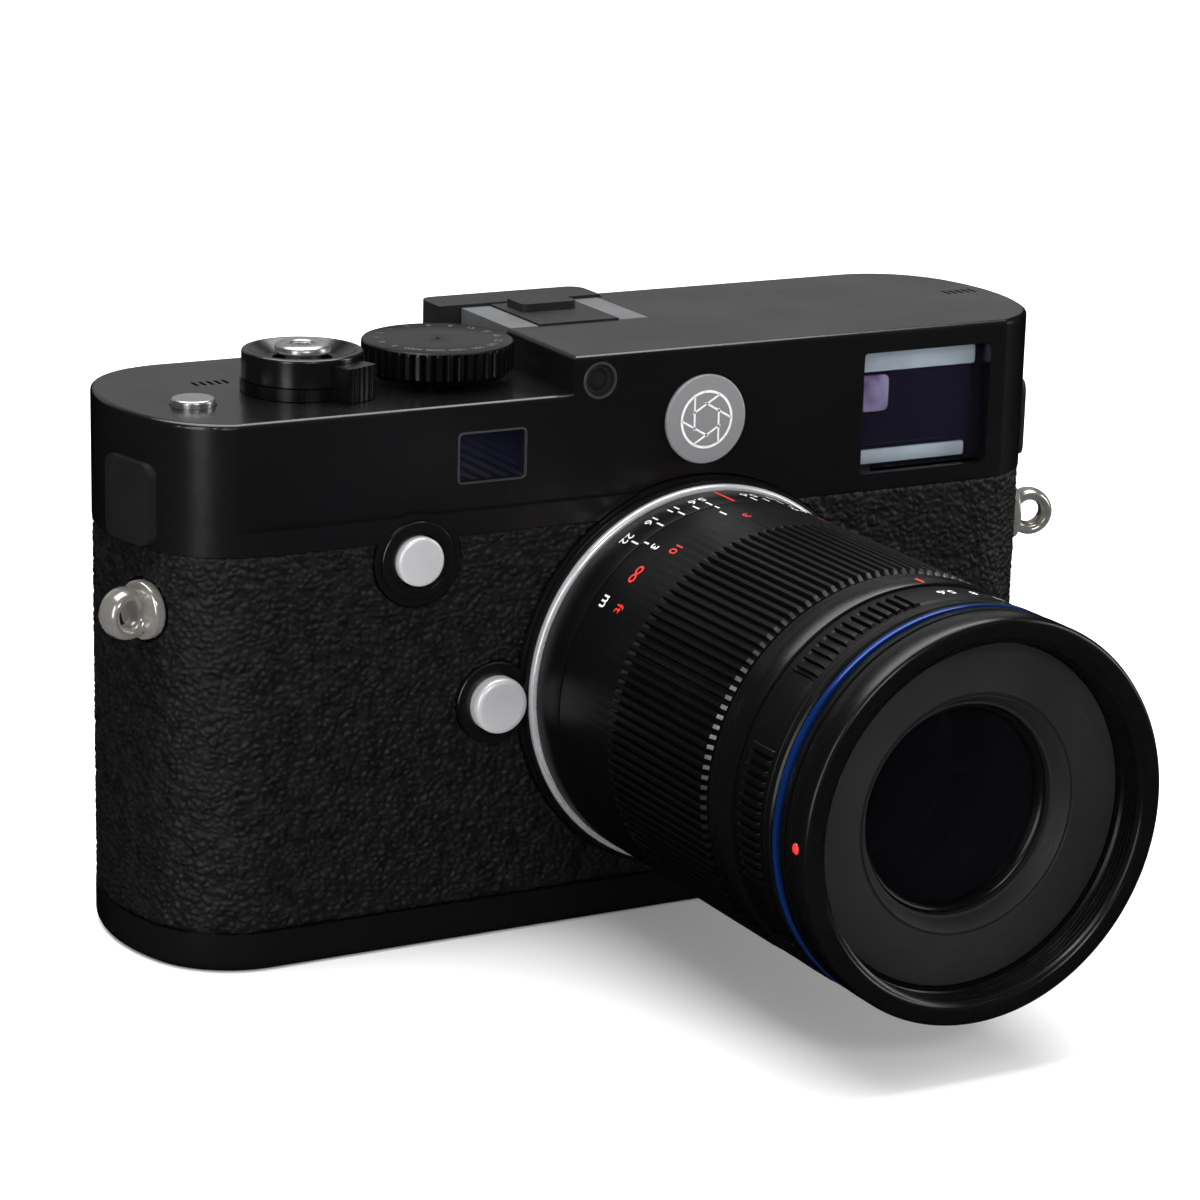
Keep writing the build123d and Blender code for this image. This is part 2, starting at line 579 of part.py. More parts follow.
with BuildPart() as focus_tube:
    tube(38.0, FOCUS_END + RUN, TELESCOPE_R, 17.5)
    tube(FOCUS_END + RUN, INNER_END, TUBE_R, 17.5)
    tube(RIM - 12.3, INNER_END, TUBE_R - 2, 0, Mode.SUBTRACT)
    tube(IRIS - 1.6, IRIS - GAP, 18, 13.0)
save(focus_tube, "focus_tube")

with BuildPart() as focus_ring:
    tube(SCALE_END + RUN, RIB_START, RING_R, TUBE_R + RUN)
    with BuildSketch(axis(RIB_START)):
        Circle(RING_R + 0.15)
        with PolarLocations(RING_R + 0.25, N_RIBS):
            Rectangle(1.7, 0.55, mode=Mode.SUBTRACT)
        Circle(TUBE_R + RUN, mode=Mode.SUBTRACT)
    extrude(amount=FOCUS_END - RIB_START - 0.5)
    tube(FOCUS_END - 0.5, FOCUS_END, 25.6, TUBE_R + RUN)
save(focus_ring, "focus_ring")

with BuildPart() as index_ring:
    tube(FOCUS_END + RUN, MID_END, RING_R, TUBE_R + GAP)
    tube(70.5, 70.8, 30, RING_R - 0.25, Mode.SUBTRACT)
save(index_ring, "index_ring")

with BuildPart() as aperture_ring:
    tube(MID_END + RUN, APERTURE_END, RING_R - 0.35, TUBE_R + RUN)
    with BuildSketch(axis(MID_END + 1.6)):
        Circle(RING_R + 0.1)
        Circle(RING_R - 0.6, mode=Mode.SUBTRACT)
        for group in range(7):
            with PolarLocations(RING_R, 10, start_angle=97 + group * 51.43, angular_range=32):
                Rectangle(2.0, 0.9, mode=Mode.SUBTRACT)
    extrude(amount=APERTURE_END - MID_END - 2.4)
save(aperture_ring, "aperture_ring")

with BuildPart() as blue_ring:
    tube(BLUE_START, BLUE_END, RING_R - 0.1, 25.0)
    fillet(blue_ring.edges().filter_by(GeomType.CIRCLE).group_by(SortBy.LENGTH)[-1], 0.3)
save(blue_ring, "blue_ring")

with BuildPart() as front_barrel:
    tube(APERTURE_END + RUN, RIM - 5.2, RING_R, TUBE_R + GAP)
    tube(BLUE_START - GAP, BLUE_END + GAP, 30, 25.0 - 0.02, Mode.SUBTRACT)
    tube(RIM - 5.2, RIM - THREAD, RING_R, THREAD_R - 0.5)
    tube(RIM - THREAD, RIM, RING_R, THREAD_R)
    tube(INNER_END + GAP, RIM - 5.2, TUBE_R + 1, 20.6)
    tube(87.3, 87.7, 30, RING_R - 0.4, Mode.SUBTRACT)
    chamfer(front_barrel.edges().filter_by(lambda e: e.center().Y < -RIM + 0.01).group_by(SortBy.LENGTH)[-1], 0.6)
    dot = Plane((0, -90, AXIS_Z), x_dir=(0, 1, 0), z_dir=(-1, 0, 0))
    disc(dot.offset(RING_R - 0.8), 2, 0.75, mode=Mode.SUBTRACT)
save(front_barrel, "front_barrel")

with BuildPart() as name_ring:
    tube(RIM - 5.15, RIM - THREAD - 0.2, THREAD_R - 0.55, 14.6)
    tube(RIM - 7.5, RIM - 5.1, 20.5, 14.6)
    chamfer(name_ring.edges().filter_by(lambda e: e.center().Y < -RIM + 4.5).group_by(SortBy.LENGTH)[0], 0.5)
save(name_ring, "name_ring")

with BuildPart() as front_element:
    tube(RIM - 12.2, RIM - 7.6, 20.4, 0)
    with Locations((0, FRONT_CURVE - (RIM - 7.6), AXIS_Z)):
        Sphere(FRONT_CURVE, mode=Mode.INTERSECT)
save(front_element, "front_element")

with BuildPart() as iris_blades:
    for number in range(N_BLADES):
        start = 360 / N_BLADES * number
        sector(axis(IRIS + BLADE_STEP * (number % 2)), BLADE_STEP * 0.6, 13.2, 17.4, start - 24, 48)
save(iris_blades, "iris_blades")

with BuildPart() as rear_element:
    tube(24.3, 27.5, 18.3, 0)
save(rear_element, "rear_element")
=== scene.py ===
import math

import bpy
from mathutils import Matrix, Vector, noise


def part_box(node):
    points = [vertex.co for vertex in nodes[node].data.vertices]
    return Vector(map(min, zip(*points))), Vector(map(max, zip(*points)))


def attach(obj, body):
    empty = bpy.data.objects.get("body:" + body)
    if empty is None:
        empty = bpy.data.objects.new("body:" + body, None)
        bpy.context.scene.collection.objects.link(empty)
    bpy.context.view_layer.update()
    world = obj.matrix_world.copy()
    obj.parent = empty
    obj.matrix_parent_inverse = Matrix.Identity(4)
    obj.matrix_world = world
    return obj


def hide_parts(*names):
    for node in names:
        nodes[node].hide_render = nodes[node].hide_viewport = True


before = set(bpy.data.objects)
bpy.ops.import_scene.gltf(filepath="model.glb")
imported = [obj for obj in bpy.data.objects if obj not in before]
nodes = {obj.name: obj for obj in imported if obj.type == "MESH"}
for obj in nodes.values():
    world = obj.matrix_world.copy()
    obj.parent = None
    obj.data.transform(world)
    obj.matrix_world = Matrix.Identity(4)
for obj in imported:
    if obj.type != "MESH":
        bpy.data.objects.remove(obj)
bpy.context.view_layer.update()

MM = 0.001
shell_lo, shell_hi = (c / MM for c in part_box("base_plate"))
BODY_X = (shell_lo.x + shell_hi.x) / 2
HALF_W = (shell_hi.x - shell_lo.x) / 2
HALF_D = (shell_hi.y - shell_lo.y) / 2
lens_lo, lens_hi = (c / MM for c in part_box("front_barrel"))
AXIS_Z = (lens_lo.z + lens_hi.z) / 2
RING_R = (lens_hi.z - lens_lo.z) / 2


def span(node):
    """Where a lens ring starts and ends, as distances in front of the body's middle."""
    lo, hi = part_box(node)
    return -hi.y / MM, -lo.y / MM


def middle(node):
    """Centre of a CAD node, in millimetres."""
    lo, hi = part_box(node)
    return (lo + hi) / 2 / MM


# ---------------- camera, world and light ----------------
AZIMUTH, ELEVATION, ROLL = (math.radians(a) for a in (-29.583, 16.694, 1.734))
CAMERA_AT = Vector((BODY_X - 253.69, -469.62, 188.11))
FOCAL, FILM = 117.87, 36
SHIFT_X, SHIFT_Y = -0.0393, 0.0706
level = Vector((math.cos(AZIMUTH), math.sin(AZIMUTH), 0))
back = Vector((math.sin(AZIMUTH) * math.cos(ELEVATION), -math.cos(AZIMUTH) * math.cos(ELEVATION),
               math.sin(ELEVATION)))
right = (level * math.cos(ROLL) + back.cross(level) * math.sin(ROLL)).normalized()
up = back.cross(right)
optics = bpy.data.cameras.new("photo_camera")
optics.lens, optics.sensor_width = FOCAL, FILM
optics.shift_x, optics.shift_y = SHIFT_X, SHIFT_Y
optics.clip_start, optics.clip_end = 0.01, 20
camera = bpy.data.objects.new("photo_camera", optics)
turned = Matrix((right, up, back)).transposed().to_4x4()
camera.matrix_world = Matrix.Translation(CAMERA_AT * MM) @ turned
bpy.context.scene.collection.objects.link(camera)
bpy.context.scene.camera = camera


def area_light(name, at, target, size, power):
    """A soft white rectangular light, placed and aimed in millimetres."""
    data = bpy.data.lights.new(name, "AREA")
    data.shape = "RECTANGLE"
    data.size, data.size_y = size[0] * MM, size[1] * MM
    data.energy = power
    light = bpy.data.objects.new(name, data)
    light.location = Vector(at) * MM
    aim = (Vector(target) - Vector(at)).normalized()
    light.rotation_euler = aim.to_track_quat("-Z", "Y").to_euler()
    bpy.context.scene.collection.objects.link(light)


area_light("softbox_over", (0, 150, 900), (0, 0, 40), (1100, 800), 15)
area_light("softbox_back", (150, 900, 420), (0, 0, 60), (1300, 500), 0.65)
area_light("strip_left", (-600, -400, 210), (-40, 0, 40), (200, 520), 1.5)
area_light("strip_front", (-150, -900, 520), (0, -20, 40), (320, 160), 2.0)
area_light("strip_right", (640, -260, 260), (40, 0, 40), (140, 520), 1.3)

AMBIENT, BACKDROP = 0.9, 1.0
world = bpy.data.worlds.new("studio")
bpy.context.scene.world = world
world.use_nodes = True
wt = world.node_tree
sky = wt.nodes["Background"]
sky.inputs["Color"].default_value = (1, 1, 1, 1)
sky.inputs["Strength"].default_value = AMBIENT
seen = wt.nodes.new("ShaderNodeBackground")
seen.inputs["Color"].default_value = (1, 1, 1, 1)
seen.inputs["Strength"].default_value = BACKDROP
ray = wt.nodes.new("ShaderNodeLightPath")
either = wt.nodes.new("ShaderNodeMixShader")
wt.links.new(ray.outputs["Is Camera Ray"], either.inputs[0])
wt.links.new(sky.outputs[0], either.inputs[1])
wt.links.new(seen.outputs[0], either.inputs[2])
wt.links.new(either.outputs[0], wt.nodes["World Output"].inputs["Surface"])
world.cycles_visibility.glossy = False
bpy.context.scene.view_settings.view_transform = "Standard"


# ---------------- materials ----------------
class Shade:
    """A principled material with procedural detail in object space."""

    def __init__(self, name, color, rough, metal=0.0, **sockets):
        self.mat = bpy.data.materials.new(name)
        self.mat.use_nodes = True
        self.tree = self.mat.node_tree
        self.bsdf = self.tree.nodes["Principled BSDF"]
        self.bsdf.inputs["Base Color"].default_value = (*color, 1)
        self.bsdf.inputs["Roughness"].default_value = rough
        self.bsdf.inputs["Metallic"].default_value = metal
        for key, value in sockets.items():
            self.bsdf.inputs[key.replace("_", " ")].default_value = value
        self.mat.diffuse_color = (*color, 1)
        self.color, self.rough = color, rough
        self.height = None

    def coords(self, scale):
        at = self.tree.nodes.new("ShaderNodeTexCoord")
        mapping = self.tree.nodes.new("ShaderNodeMapping")
        mapping.inputs["Scale"].default_value = scale
        self.tree.links.new(at.outputs["Object"], mapping.inputs["Vector"])
        return mapping.outputs["Vector"]

    def noise(self, scale, detail=3, stretch=(1, 1, 1)):
        made = self.tree.nodes.new("ShaderNodeTexNoise")
        made.inputs["Scale"].default_value = scale
        made.inputs["Detail"].default_value = detail
        self.tree.links.new(self.coords(stretch), made.inputs["Vector"])
        return made.outputs["Fac"]

    def ramp(self, fac, low, high, a, b):
        made = self.tree.nodes.new("ShaderNodeMapRange")
        for key, value in zip(("From Min", "From Max", "To Min", "To Max"), (low, high, a, b)):
            made.inputs[key].default_value = value
        self.tree.links.new(fac, made.inputs["Value"])
        return made.outputs["Result"]

    def vary_rough(self, fac, spread, low=0.3, high=0.7):
        out = self.ramp(fac, low, high, self.rough - spread, self.rough + spread)
        self.tree.links.new(out, self.bsdf.inputs["Roughness"])
        return self

    def vary_color(self, fac, other, low=0.35, high=0.65):
        mix = self.tree.nodes.new("ShaderNodeMix")
        mix.data_type = "RGBA"
        mix.inputs["A"].default_value = (*self.color, 1)
        mix.inputs["B"].default_value = (*other, 1)
        self.tree.links.new(self.ramp(fac, low, high, 0, 1), mix.inputs["Factor"])
        self.tree.links.new(mix.outputs["Result"], self.bsdf.inputs["Base Color"])
        return self

    def bump(self, fac, strength, distance):
        made = self.tree.nodes.new("ShaderNodeBump")
        made.inputs["Strength"].default_value = strength
        made.inputs["Distance"].default_value = distance
        self.tree.links.new(fac, made.inputs["Height"])
        if self.height:
            self.tree.links.new(self.height, made.inputs["Normal"])
        self.height = made.outputs["Normal"]
        self.tree.links.new(self.height, self.bsdf.inputs["Normal"])
        return self


def paint(name, color, rough, **more):
    """Sprayed and baked enamel: faint orange peel and patchy sheen."""
    made = Shade(name, color, rough, **more)
    made.vary_rough(made.noise(60, 4), 0.05)
    made.bump(made.noise(1500, 2), 0.06, 0.0001)
    made.bump(made.noise(260, 2), 0.05, 0.0004)
    return made


EVEN = (1, 1, 1)


def turned_metal(name, color, rough, metal=1.0, along=(1, 60, 1), scale=220, spread=0.08,
                 strength=0.05, **more):
    """Machined metal with fine tool lines; along stretches them, and EVEN makes a plain satin grain."""
    made = Shade(name, color, rough, metal, **more)
    lines = made.noise(scale, 3, along)
    made.vary_rough(lines, spread)
    made.bump(lines, strength, 0.0001)
    made.vary_color(made.noise(90, 3), tuple(c * 0.82 for c in color))
    return made


def coat(weight, rough):
    """Sockets of a clear coat."""
    return {"Coat_Weight": weight, "Coat_Roughness": rough}


BLACK = (0.0036, 0.0036, 0.0041)
M = {}
M["cover"] = paint("black_enamel", BLACK, 0.25, Specular_IOR_Level=0.5, **coat(0.12, 0.12))
M["base"] = paint("black_enamel_base", BLACK, 0.24, Specular_IOR_Level=0.45, **coat(0.15, 0.1))
M["anodised"] = turned_metal("black_anodised", (0.003, 0.003, 0.0033), 0.27, 0.15, Specular_IOR_Level=0.4)
M["anodised_fine"] = turned_metal("black_anodised_satin", (0.0024, 0.0024, 0.0027), 0.4, 0.1,
                                  Specular_IOR_Level=0.22)
M["plate"] = turned_metal("name_plate_grey", (0.0125, 0.0125, 0.0135), 0.6, 0.1, EVEN, 2500,
                          strength=0.08)
M["silver"] = turned_metal("satin_chrome", (0.62, 0.63, 0.65), 0.28, 0.6)
M["button"] = turned_metal("satin_steel_button", (0.66, 0.66, 0.68), 0.36, 0.45, EVEN, 3000, 0.05)
# A darker copy of the button steel for the top buttons: painted shade against the strong overhead light.
M["button_steel_shaded_copy"] = turned_metal("satin_steel_darkened_for_overhead_light", (0.46, 0.46, 0.47), 0.3, 0.9, EVEN, 2000, 0.05)
M["tube"] = turned_metal("lens_tube_black", (0.022, 0.023, 0.022), 0.35, 0.2)
M["lug"] = turned_metal("polished_steel_lug", (0.46, 0.44, 0.41), 0.2, 0.75, (1, 1, 3), 300, 0.04, 0.02)
M["shoe"] = turned_metal("brushed_steel_shoe", (0.2, 0.205, 0.215), 0.38, 0.6, (1, 40, 1), 400)
M["blue"] = turned_metal("blue_anodised", (0.003, 0.026, 0.14), 0.24, 0.6)
M["red"] = paint("red_enamel", (0.62, 0.025, 0.02), 0.22, **coat(0.6, 0.06))
M["badge"] = paint("graphite_badge_enamel", (0.19, 0.19, 0.2), 0.24, **coat(0.6, 0.06))
M["rubber"] = Shade("black_rubber", (0.006, 0.006, 0.0065), 0.5, Specular_IOR_Level=0.3)
M["rubber"].bump(M["rubber"].noise(2600, 3), 0.2, 0.0001)
M["rubber"].vary_color(M["rubber"].noise(150), (0.008, 0.008, 0.008))
M["plastic"] = Shade("black_plastic", (0.011, 0.011, 0.012), 0.45, Specular_IOR_Level=0.4)
M["plastic"].bump(M["plastic"].noise(4200, 3), 0.35, 0.0001).vary_rough(M["plastic"].noise(300), 0.08)
M["white_fill"] = Shade("white_engraving", (0.78, 0.78, 0.76), 0.55)
M["white_fill"].vary_color(M["white_fill"].noise(1500), (0.62, 0.62, 0.6))
M["red_fill"] = Shade("red_engraving", (0.7, 0.02, 0.015), 0.5)
M["red_fill"].vary_color(M["red_fill"].noise(1500), (0.5, 0.015, 0.01))
M["bright_cut"] = turned_metal("bright_cut_edge", (0.13, 0.13, 0.13), 0.36, 1.0, EVEN, 900)
M["arrow_fill"] = Shade("pale_print", (0.45, 0.45, 0.45), 0.6)
M["arrow_fill"].vary_color(M["arrow_fill"].noise(1500), (0.38, 0.38, 0.38))
M["rim"] = turned_metal("window_rim", (0.05, 0.05, 0.055), 0.35, 0.4, EVEN, 600)
M["grey_fill"] = Shade("grey_engraving", (0.13, 0.13, 0.12), 0.6)
M["grey_fill"].vary_color(M["grey_fill"].noise(1500), (0.05, 0.05, 0.045))
M["casting"] = Shade("cast_alloy", (0.22, 0.22, 0.23), 0.5, 1.0)
M["casting"].bump(M["casting"].noise(1200, 5), 0.3, 0.0001).vary_rough(M["casting"].noise(200), 0.1)
M["brass"] = turned_metal("tripod_bush_steel", (0.5, 0.49, 0.46), 0.35, 1.0, (1, 1, 50), 300)
M["board"] = Shade("circuit_board", (0.01, 0.09, 0.045), 0.4)
M["board"].vary_color(M["board"].noise(700, 1), (0.02, 0.15, 0.08))
M["sensor"] = Shade("image_sensor", (0.02, 0.05, 0.06), 0.08, Coat_Weight=1.0)
M["sensor"].vary_color(M["sensor"].noise(30), (0.05, 0.02, 0.07))
M["battery"] = Shade("battery_case", (0.03, 0.03, 0.032), 0.5)
M["battery"].bump(M["battery"].noise(2500), 0.2, 0.0001).vary_rough(M["battery"].noise(100), 0.08)
M["card"] = Shade("memory_card", (0.02, 0.03, 0.12), 0.35)
M["card"].bump(M["card"].noise(2500), 0.1, 0.0001).vary_rough(M["card"].noise(150), 0.06)
M["screen"] = Shade("screen_glass", (0.004, 0.004, 0.006), 0.06, **coat(1.0, 0.03))
M["screen"].vary_rough(M["screen"].noise(25, 4), 0.03)
M["window"] = Shade("finder_glass", (0.02, 0.02, 0.032), 0.04, Alpha=0.12, **coat(0.5, 0.03))
M["window"].vary_rough(M["window"].noise(80, 4), 0.02)
M["prism"] = Shade("finder_prism", (0.0015, 0.001, 0.003), 0.12, **coat(0.6, 0.05))
M["prism"].vary_color(M["prism"].noise(60, 2, (1, 1, 0.1)), (0.006, 0.003, 0.015))
# Pale blue-grey colour for the finder's sloped inner faces: a painted reflection of the lights, given as
# diffuse colour.
M["frosted"] = Shade("frosted_window", (0.4, 0.47, 0.53), 0.6)
M["frosted"].vary_color(M["frosted"].noise(160, 3, (1, 1, 0.3)), (0.33, 0.39, 0.45))
# Lilac colour inside the finder: a painted reflection, a lit purple glint given as diffuse colour.
M["lilac"] = Shade("finder_painted_reflection", (0.26, 0.23, 0.36), 0.25)
M["lilac"].vary_color(M["lilac"].noise(300, 2), (0.12, 0.08, 0.24))
M["dark_window"] = Shade("rangefinder_glass", (0.002, 0.002, 0.005), 0.07, **coat(1.0, 0.04))
M["dark_window"].vary_color(M["dark_window"].noise(240, 2, (1, 1, 3)), (0.0035, 0.0035, 0.01))
M["front_glass"] = Shade("front_glass", (0.003, 0.003, 0.004), 0.05, Alpha=0.35, **coat(0.6, 0.03))
M["front_glass"].vary_color(M["front_glass"].noise(40), (0.004, 0.004, 0.006))
M["iris"] = turned_metal("iris_blades", (0.05, 0.05, 0.05), 0.4)

LEATHER = Shade("pebbled_covering", (0.003, 0.003, 0.0034), 0.5, Specular_IOR_Level=0.3)
LEATHER.vary_rough(LEATHER.noise(900, 3), 0.1)
LEATHER.bump(LEATHER.noise(5200, 4), 0.35, 0.0001)
LEATHER.vary_color(LEATHER.noise(420, 4), (0.0065, 0.0065, 0.007))


FINISH = {
    "cover": ["top_cover", "release_tower", "body_shell"],
    "base": ["base_plate"],
    "anodised": ["depth_scale_ring", "index_ring", "front_barrel", "power_switch", "speed_dial"],
    "tube": ["focus_tube", "inner_barrel"],
    "anodised_fine": ["focus_ring", "aperture_ring", "eyepiece_ring", "base_lock", "shutter_curtain"],
    "plate": ["name_ring"],
    "silver": ["bayonet_ring", "lens_mount"],
    "button": ["focus_button", "lens_release"],
    "button_steel_shaded_copy": ["movie_button", "shutter_button"],
    "lug": ["strap_lugs", "lock_bow", "bayonet_screws", "rangefinder_arm"],
    "shoe": ["hot_shoe"],
    "blue": ["blue_ring"],
    "badge": ["badge"],
    "rubber": ["strap_guards"],
    "plastic": ["shoe_cover", "rear_panel", "four_way_pad", "centre_key", "thumbwheel", "light_sensor",
                "rear_key_1", "rear_key_2", "rear_key_3", "rear_key_4", "rear_key_5"],
    "casting": ["chassis", "shutter_frame"],
    "brass": ["tripod_bush"],
    "board": ["main_board"],
    "sensor": ["image_sensor"],
    "battery": ["battery"],
    "card": ["memory_card"],
    "screen": ["screen_glass"],
    "window": ["finder_window"],
    "prism": ["finder_prism", "eyepiece_lens", "rear_element"],
    "dark_window": ["rangefinder_window", "rangefinder_prism"],
    "front_glass": ["front_element"],
    "iris": ["iris_blades"],
}
for key, names in FINISH.items():
    for name in names:
        nodes[name].data.materials.clear()
        nodes[name].data.materials.append(M[key].mat)
for name in ("leather_left", "leather_right"):
    nodes[name].data.materials.clear()
    nodes[name].data.materials.append(LEATHER.mat)


# ---------------- making pieces ----------------
def piece(name, verts, faces, body, shade, smooth=True, replaces=(), sharp=35):
    """A mesh in millimetres that rides on a CAD body."""
    mesh = bpy.data.meshes.new(name)
    mesh.from_pydata([Vector(v) * MM for v in verts], [], faces)
    mesh.update()
    mesh.validate()
    obj = bpy.data.objects.new(name, mesh)
    bpy.context.scene.collection.objects.link(obj)
    mesh.materials.append(shade.mat)
    if smooth:
        mesh.shade_smooth()
        mesh.set_sharp_from_angle(angle=math.radians(sharp))
    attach(obj, body)
    if replaces:
        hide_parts(*replaces)
    return obj


def turned_faces(segments, count):
    """Quads between neighbouring copies of a closed profile of count points."""
    faces = []
    for i in range(segments):
        n = (i + 1) % segments
        for j in range(count):
            m = (j + 1) % count
            faces.append((i * count + j, n * count + j, n * count + m, i * count + m))
    return faces


def lathe(name, profile, body, shade, replaces=(), segments=256, radius=None, sharp=30, bright=()):
    """Turns a closed profile of (distance in front, radius) about the lens axis.

    radius(i, d, r) may shape it, and bright numbers the profile edges that are bare metal.
    """
    verts = []
    count = len(profile)
    for i in range(segments):
        angle = 2 * math.pi * i / segments
        for d, r in profile:
            rr = radius(i, d, r) if radius else r
            verts.append((rr * math.cos(angle), -d, AXIS_Z + rr * math.sin(angle)))
    faces = turned_faces(segments, count)
    obj = piece(name, verts, faces, body, shade, replaces=replaces, sharp=sharp)
    if bright:
        obj.data.materials.append(M["bright_cut"].mat)
        for k, face in enumerate(obj.data.polygons):
            out = math.hypot(face.center.x, face.center.z - AXIS_Z * MM)
            if k % count in bright and out > (RING_R - 0.4) * MM:
                face.material_index = 1


def ring_profile(d0, d1, outer, inner, bevel=0.25):
    """Closed profile of a ring with softened outer edges."""
    b = bevel
    soft = [(d0, outer - b), (d0 + b * 0.3, outer - b * 0.3), (d0 + b, outer),
            (d1 - b, outer), (d1 - b * 0.3, outer - b * 0.3), (d1, outer - b)]
    return [(d0, inner), *soft, (d1, inner)]


def lettering(text, size):
    """Flat glyph polygons as (points in millimetres, faces), centred on the origin."""
    curve = bpy.data.curves.new("glyphs", "FONT")
    curve.body, curve.size = text, size
    curve.align_x, curve.align_y = "CENTER", "CENTER"
    curve.resolution_u = 3
    curve.offset = 0.008 * size
    holder = bpy.data.objects.new("glyphs", curve)
    bpy.context.scene.collection.objects.link(holder)
    bpy.context.view_layer.update()
    mesh = bpy.data.meshes.new_from_object(holder.evaluated_get(bpy.context.evaluated_depsgraph_get()))
    points = [(v.co.x, v.co.y) for v in mesh.vertices]
    faces = [tuple(p.vertices) for p in mesh.polygons]
    bpy.data.objects.remove(holder)
    bpy.data.curves.remove(curve)
    bpy.data.meshes.remove(mesh)
    return points, faces


def bar(width, height):
    """A flat tick mark centred on the origin."""
    w, h = width / 2, height / 2
    return [(-w, -h), (w, -h), (w, h), (-w, h)], [(0, 1, 2, 3)]


LIFT = 0.03


def on_barrel(glyphs, angle, d, radius):
    """Wraps flat glyphs round the barrel: they read from behind the camera."""
    points, faces = glyphs
    done = []
    for u, v in points:
        a = math.radians(angle) + u / radius
        r = radius + LIFT
        done.append((r * math.cos(a), -(d + v), AXIS_Z + r * math.sin(a)))
    return done, faces


def gather(name, parts, body, shade):
    """Joins several marks into one piece."""
    verts, faces = [], []
    for points, polys in parts:
        base = len(verts)
        verts += points
        faces += [tuple(base + i for i in p) for p in polys]
    return piece(name, verts, faces, body, shade, smooth=False)


# ---------------- leather ----------------
CORNER_R, END_R = 14.0, 30.0


def outline(step):
    """Points and outward angles along the body outline, from the back middle all the way round."""
    corner_y = HALF_D - CORNER_R
    end_x = HALF_W - END_R
    corner_x = end_x + math.sqrt((END_R - CORNER_R) ** 2 - corner_y**2)
    turn = math.atan2(corner_y, corner_x - end_x)
    quarter = []
    for i in range(int(corner_x / step) + 1):
        quarter.append((i * step, HALF_D, math.pi / 2))
    n = int(CORNER_R * (math.pi / 2 - turn) / step)
    for i in range(n):
        a = math.pi / 2 - (math.pi / 2 - turn) * i / n
        quarter.append((corner_x + CORNER_R * math.cos(a), corner_y + CORNER_R * math.sin(a), a))
    n = int(END_R * turn / step)
    for i in range(n + 1):
        a = turn - turn * i / n
        quarter.append((end_x + END_R * math.cos(a), END_R * math.sin(a), a))
    lower = [(x, -y, -a) for x, y, a in reversed(quarter[:-1])]
    side = quarter + lower
    other = [(-x, y, math.pi - a) for x, y, a in reversed(side[1:-1])]
    return side + other


PEBBLE_WIDE, PEBBLE_HIGH = 1.2, 0.78

# Unseeded, noise_vector takes its offsets from the clock and the pebbles differ from run to run.
GRAIN_SEED = 5
noise.seed_set(GRAIN_SEED)


def grain(x, y, z):
    """Height of the pebbled grain, 0 at the top of a pebble and about -1 in a crease."""
    p = Vector((x, y, z))
    q = p + noise.noise_vector(p * 0.45) * 0.7
    q = Vector((q.x / PEBBLE_WIDE, q.y / PEBBLE_WIDE, (q.z + 0.25 * q.x) / PEBBLE_HIGH))
    near = noise.voronoi(q, distance_metric="DISTANCE")[0]
    pebble = min(1.0, (near[1] - near[0]) / 0.36)
    height = pebble * pebble * (3 - 2 * pebble)
    fine = noise.noise(p * 3.1) * 0.16 + noise.noise(p * 0.6) * 0.22
    return min(0.0, height - 1 + fine - 0.1)


STEP = 0.23
DEPTH = 0.3
lug_lo, lug_hi = (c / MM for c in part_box("strap_lugs"))
LUG_Y, LUG_Z = -8.8, (lug_lo.z + lug_hi.z) / 2
LUG_CUT = (lug_hi.z - lug_lo.z) / 2 + 0.3
MOUNT_CUT, FOCUS_CUT, RELEASE_CUT, PAD_CUT = 27.9, 6.5, 5.7, 10.2
RELEASE_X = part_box("lens_release")[0].x / MM + 3.9
RELEASE_Z = middle("lens_release").z


